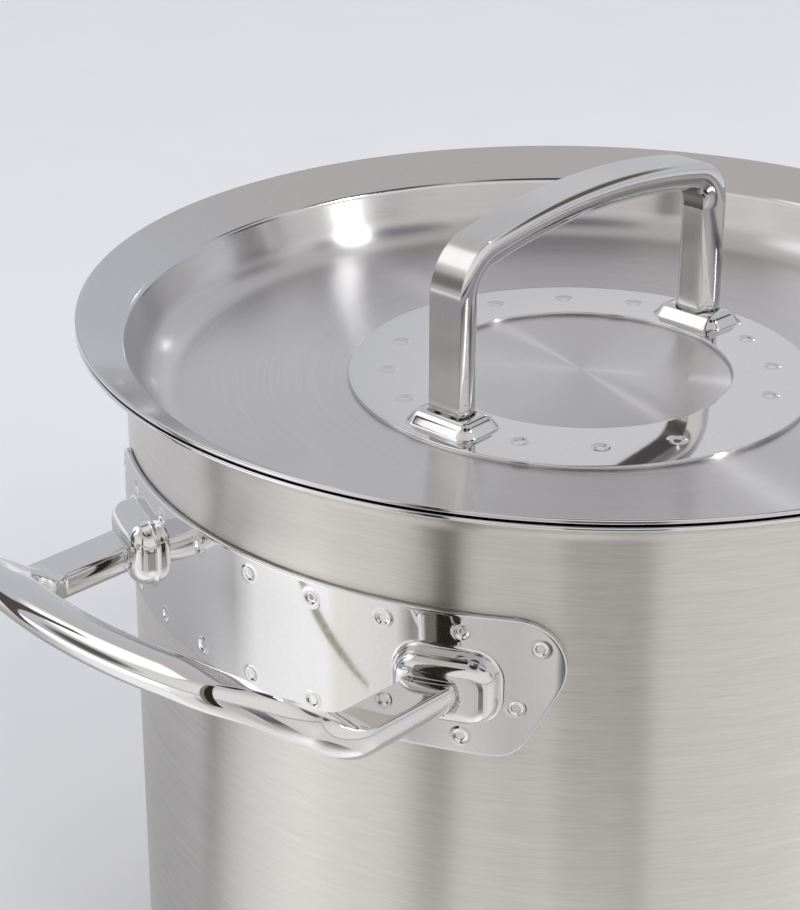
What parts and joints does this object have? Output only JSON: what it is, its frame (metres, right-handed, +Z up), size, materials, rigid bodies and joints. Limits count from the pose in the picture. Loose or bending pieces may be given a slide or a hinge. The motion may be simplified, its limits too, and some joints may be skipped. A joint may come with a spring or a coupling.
{
  "type": "stew pot with lid",
  "caption": "Round stainless steel stew pot with a flared rim, bar side handles on welded plates, and a flat-lipped lid with an arched bar handle.",
  "frame": {"origin": "centre of the underside of the base cap, on the surface that the pot stands on", "axes": "+Z up, +X from the middle of the pot through the middle of the right-hand side handle, +Y along the pot's other diameter; the lid handle lies in the XZ plane"},
  "size_m": [0.355, 0.267, 0.2446],
  "materials": {
    "satin_steel": "satin, brushed round the pot",
    "lid_steel": "satin, brushed in circles",
    "polished_steel": "mirror polished stainless steel",
    "core_aluminium": "raw, sealed between the floor and the base cap"
  },
  "bodies": {
    "root": {"pot_body": "satin_steel", "base_core": "core_aluminium", "base_cap": "satin_steel", "handle_plate_left": "polished_steel", "handle_plate_right": "polished_steel", "side_handle_left": "polished_steel", "side_handle_right": "polished_steel", "lid": "lid_steel", "lid_ring": "polished_steel", "lid_handle": "polished_steel"}
  },
  "joints": []
}
